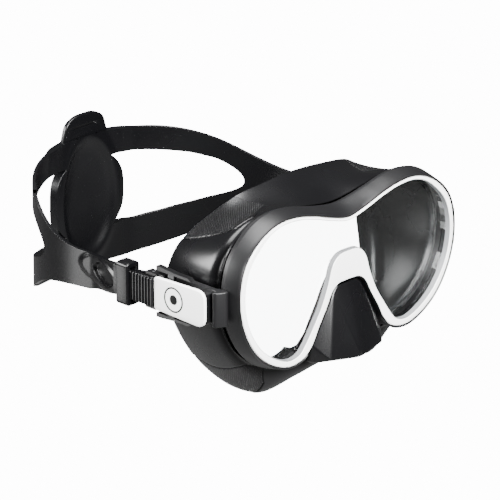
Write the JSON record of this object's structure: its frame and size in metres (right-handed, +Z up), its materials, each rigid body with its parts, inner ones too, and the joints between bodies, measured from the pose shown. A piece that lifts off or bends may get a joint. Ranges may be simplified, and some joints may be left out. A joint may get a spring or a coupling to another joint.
{
  "type": "diving mask",
  "caption": "Low-volume diving mask with a one-piece flat lens, a soft skirt with a nose pocket, swivelling side buckles and a split silicone head strap.",
  "frame": {"origin": "the bridge of the wearer's nose: on the mid plane, 30 mm behind the front of the lens trim", "axes": "+X towards the wearer's left, +Y towards the back of the head, +Z up"},
  "size_m": [0.182, 0.2054, 0.1038],
  "materials": {
    "lens_glass": "clear flat tempered glass, polished",
    "white_plastic": "moulded gloss white",
    "frame_plastic": "moulded satin black polycarbonate",
    "skirt_silicone": "moulded silicone, satin with stippled panels",
    "strap_silicone": "moulded silicone, satin",
    "buckle_nylon": "moulded satin black nylon",
    "steel": "plain stainless steel"
  },
  "bodies": {
    "mask": {"lens": "lens_glass", "lens_trim": "white_plastic", "frame": "frame_plastic", "skirt": "skirt_silicone", "buckle_lug_left": "frame_plastic", "buckle_lug_right": "frame_plastic", "pivot_pin_left": "steel", "pivot_pin_right": "steel"},
    "strap_assembly": {"strap": "strap_silicone", "buckle_body_left": "buckle_nylon", "buckle_body_right": "buckle_nylon", "buckle_cap_left": "white_plastic", "buckle_cap_right": "white_plastic", "roller_pin_left": "steel", "roller_pin_right": "steel", "release_spring_left": "steel", "release_spring_right": "steel"},
    "release_tab_upper_left": {"release_tab_upper_left": "buckle_nylon"},
    "release_tab_lower_left": {"release_tab_lower_left": "buckle_nylon"},
    "locking_pawl_left": {"locking_pawl_left": "buckle_nylon"},
    "strap_roller_left": {"strap_roller_left": "buckle_nylon"},
    "strap_keeper_left": {"strap_keeper_left": "strap_silicone"},
    "release_tab_upper_right": {"release_tab_upper_right": "buckle_nylon"},
    "release_tab_lower_right": {"release_tab_lower_right": "buckle_nylon"},
    "locking_pawl_right": {"locking_pawl_right": "buckle_nylon"},
    "strap_roller_right": {"strap_roller_right": "buckle_nylon"},
    "strap_keeper_right": {"strap_keeper_right": "strap_silicone"}
  },
  "joints": [
    {"name": "strap_swing", "type": "hinge", "parent": "mask", "child": "strap_assembly", "pos_m": [0, -0.005, -0.0046], "axis": [1, 0, 0], "range_deg": [-15, 15]},
    {"name": "upper_tab_press_left", "type": "slide", "parent": "strap_assembly", "child": "release_tab_upper_left", "axis": [0, 0, -1], "range_m": [0, 0.0015], "stiffness_N_per_m": 200, "deforming": ["release_spring_left"]},
    {"name": "lower_tab_press_left", "type": "slide", "parent": "strap_assembly", "child": "release_tab_lower_left", "axis": [0, 0, 1], "range_m": [0, 0.0015]},
    {"name": "pawl_release_left", "type": "hinge", "parent": "strap_assembly", "child": "locking_pawl_left", "pos_m": [0.085, 0.0126, -0.0046], "axis": [0, 0, 1], "range_deg": [0, 7]},
    {"name": "roller_turn_left", "type": "hinge", "parent": "strap_assembly", "child": "strap_roller_left", "pos_m": [0.085, 0.0208, -0.0046], "axis": [0, 0, 1], "continuous": true},
    {"name": "keeper_slide_left", "type": "slide", "parent": "strap_assembly", "child": "strap_keeper_left", "axis": [0, 1, 0], "range_m": [-0.001, 0.003]},
    {"name": "upper_tab_press_right", "type": "slide", "parent": "strap_assembly", "child": "release_tab_upper_right", "axis": [0, 0, -1], "range_m": [0, 0.0015], "stiffness_N_per_m": 200, "deforming": ["release_spring_right"]},
    {"name": "lower_tab_press_right", "type": "slide", "parent": "strap_assembly", "child": "release_tab_lower_right", "axis": [0, 0, 1], "range_m": [0, 0.0015]},
    {"name": "pawl_release_right", "type": "hinge", "parent": "strap_assembly", "child": "locking_pawl_right", "pos_m": [-0.085, 0.0126, -0.0046], "axis": [0, 0, 1], "range_deg": [-7, 0]},
    {"name": "roller_turn_right", "type": "hinge", "parent": "strap_assembly", "child": "strap_roller_right", "pos_m": [-0.085, 0.0208, -0.0046], "axis": [0, 0, 1], "continuous": true},
    {"name": "keeper_slide_right", "type": "slide", "parent": "strap_assembly", "child": "strap_keeper_right", "axis": [0, 1, 0], "range_m": [-0.001, 0.003]}
  ],
  "couplings": [
    {"joint": "lower_tab_press_left", "follows": "upper_tab_press_left", "ratio": 1},
    {"joint": "pawl_release_left", "follows": "upper_tab_press_left", "rad_per_m": 69.8},
    {"joint": "lower_tab_press_right", "follows": "upper_tab_press_right", "ratio": 1},
    {"joint": "pawl_release_right", "follows": "upper_tab_press_right", "rad_per_m": -69.8}
  ]
}
